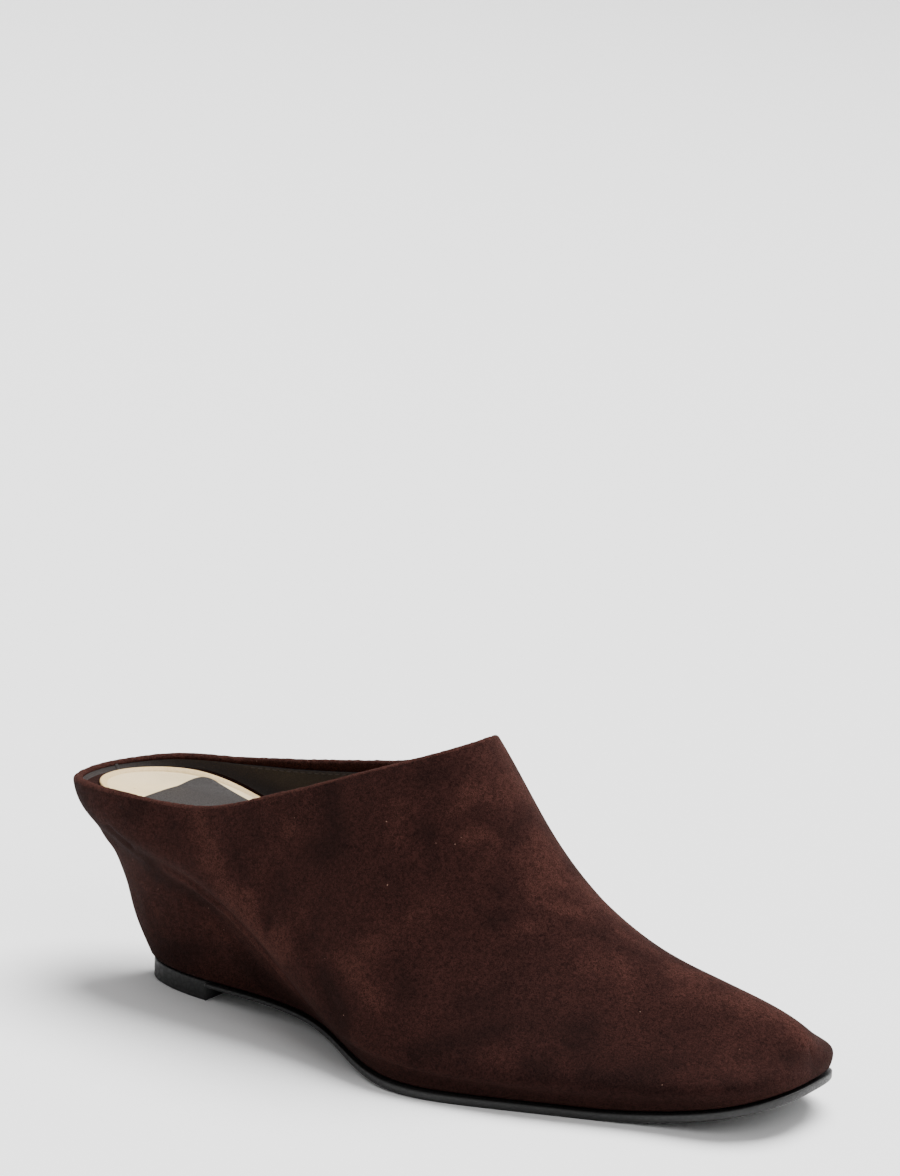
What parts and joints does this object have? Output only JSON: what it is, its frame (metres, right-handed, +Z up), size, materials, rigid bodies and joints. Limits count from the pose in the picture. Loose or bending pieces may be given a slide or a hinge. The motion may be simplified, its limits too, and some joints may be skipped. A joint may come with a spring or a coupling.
{
  "type": "suede wedge mule",
  "caption": "Closed-toe slip-on mule for the right foot, one-piece suede upper over a low covered wedge, soft square toe and thin black sole",
  "frame": {"origin": "centre of the bounding box's base, on the floor that the shoe stands on", "axes": "+X towards the toe, +Y towards the wearer's left, which is the inner side of this right foot, +Z up"},
  "size_m": [0.2416, 0.085, 0.09],
  "materials": {
    "top_piece": "semi-matt black moulded rubber",
    "sole": "semi-matt black thin sole with a smooth edge",
    "wedge_core": "plain cork filler, hidden by the suede",
    "suede": "matt dark chocolate suede with a short nap and soft mottling",
    "insole_suede": "matt dark chocolate suede cover",
    "sock_leather": "smooth beige padded lining leather",
    "patch": "dull dark grey, bare"
  },
  "bodies": {
    "root": {"top_lift": "top_piece", "outsole": "sole", "wedge": "wedge_core", "upper": "suede", "insole": "insole_suede", "sock": "sock_leather", "sock_patch": "patch"}
  },
  "joints": []
}
